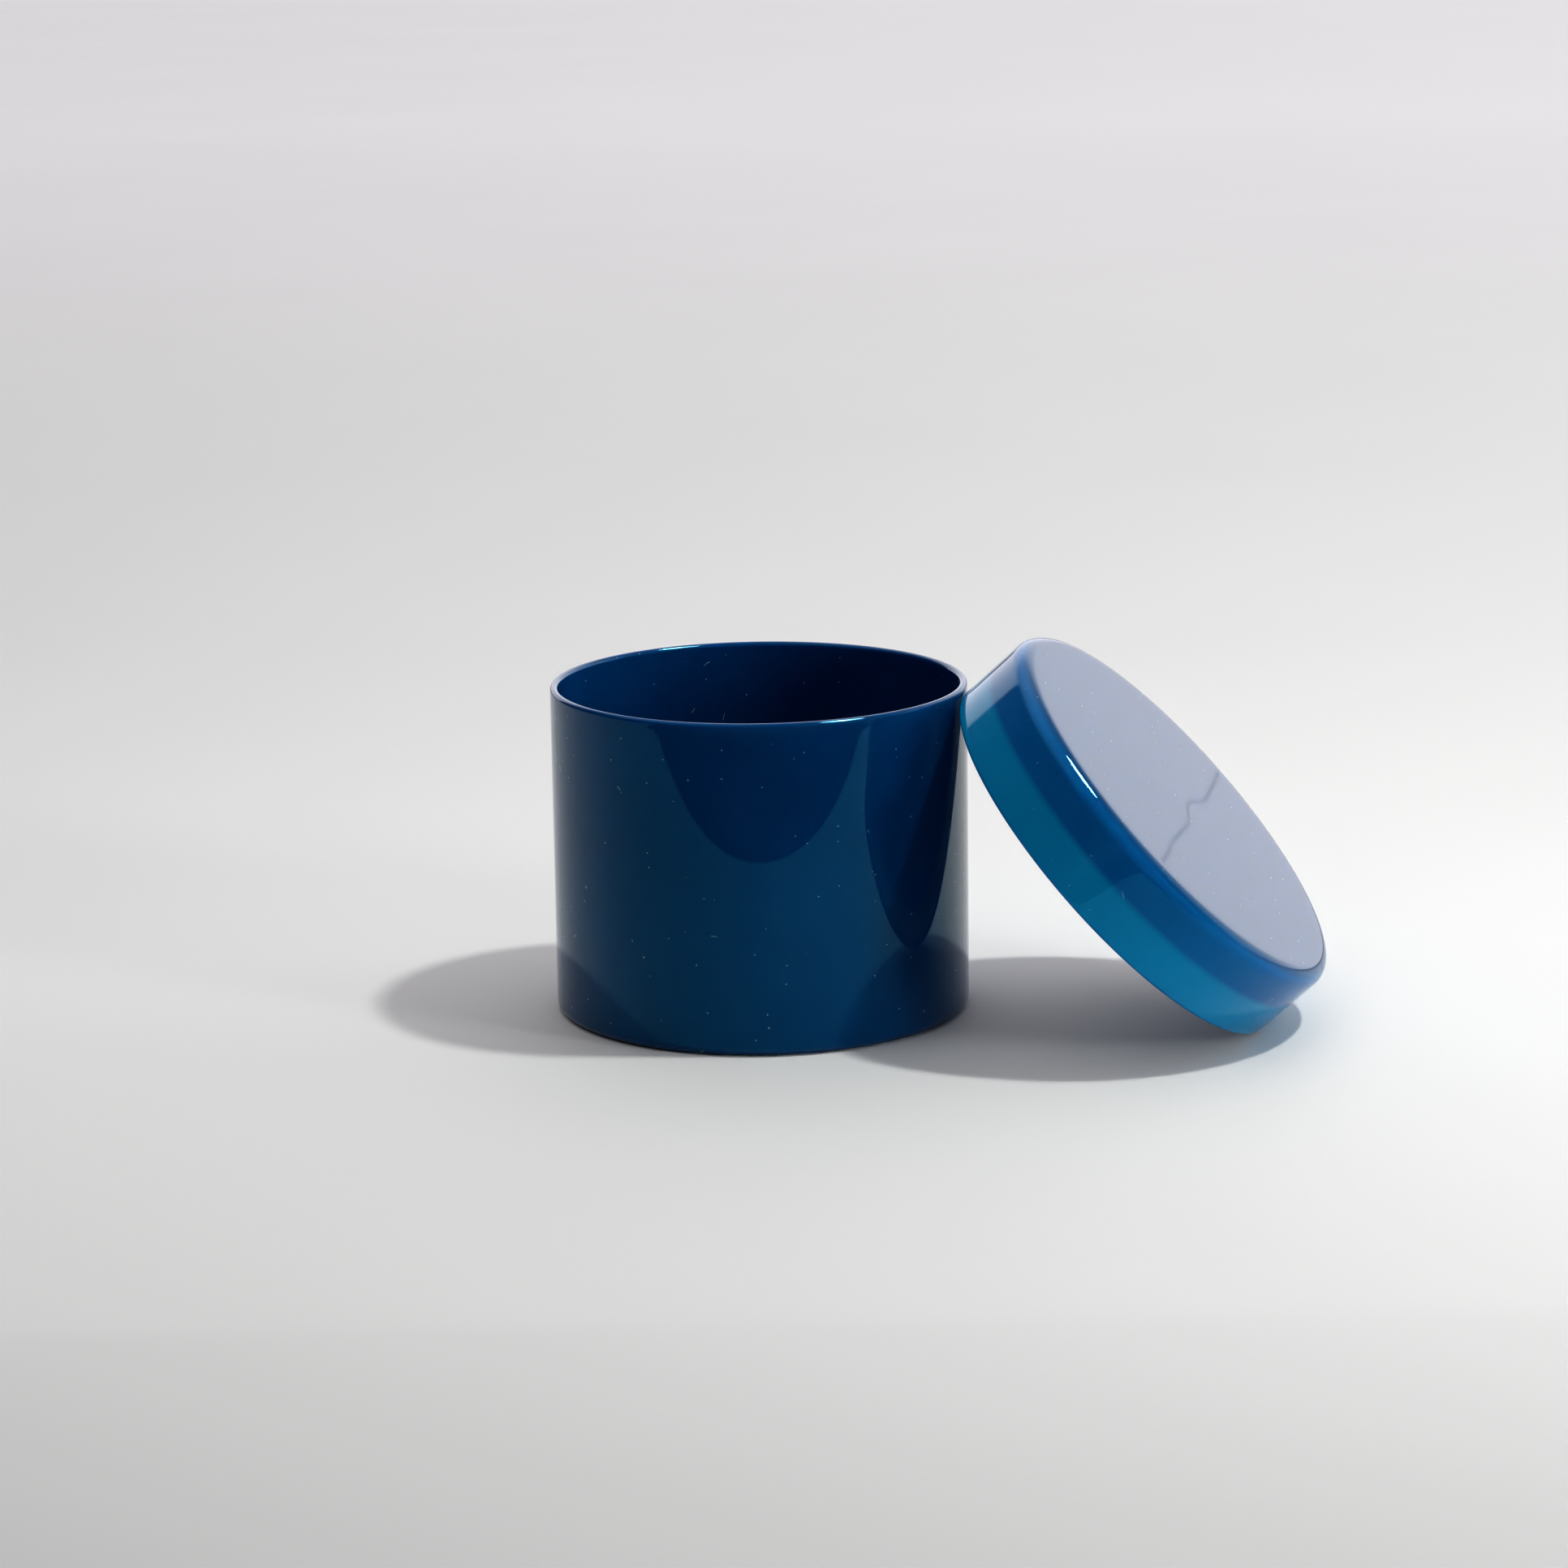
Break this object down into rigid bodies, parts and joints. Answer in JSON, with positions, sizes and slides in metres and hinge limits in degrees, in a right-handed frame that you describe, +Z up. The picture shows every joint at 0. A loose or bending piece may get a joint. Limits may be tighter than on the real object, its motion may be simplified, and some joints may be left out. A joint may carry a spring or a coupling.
{
  "type": "lidded glass canister",
  "caption": "Round straight-walled canister of deep blue glass, open at the top, with a slip-over glass cap lined by a silicone sleeve; the cap leans on its edge against the wall.",
  "frame": {"origin": "centre of the jar's foot, on the surface that the jar stands on", "axes": "+Z up along the jar's axis; +X horizontally from the jar towards the leaning cap; the XZ plane is a mirror plane of the whole object"},
  "size_m": [0.1862, 0.1061, 0.0905],
  "materials": {
    "blue_glass": "glossy deep blue translucent glass, fire-polished edges",
    "silicone": "satin milky translucent silicone"
  },
  "bodies": {
    "jar_body": {"jar": "blue_glass"},
    "lid_body": {"lid": "blue_glass", "lid_seal": "silicone"}
  },
  "joints": [
    {"name": "lid_lift", "type": "slide", "parent": "jar_body", "child": "lid_body", "axis": [0, 0, 1], "range_m": [0, 0.09]}
  ]
}
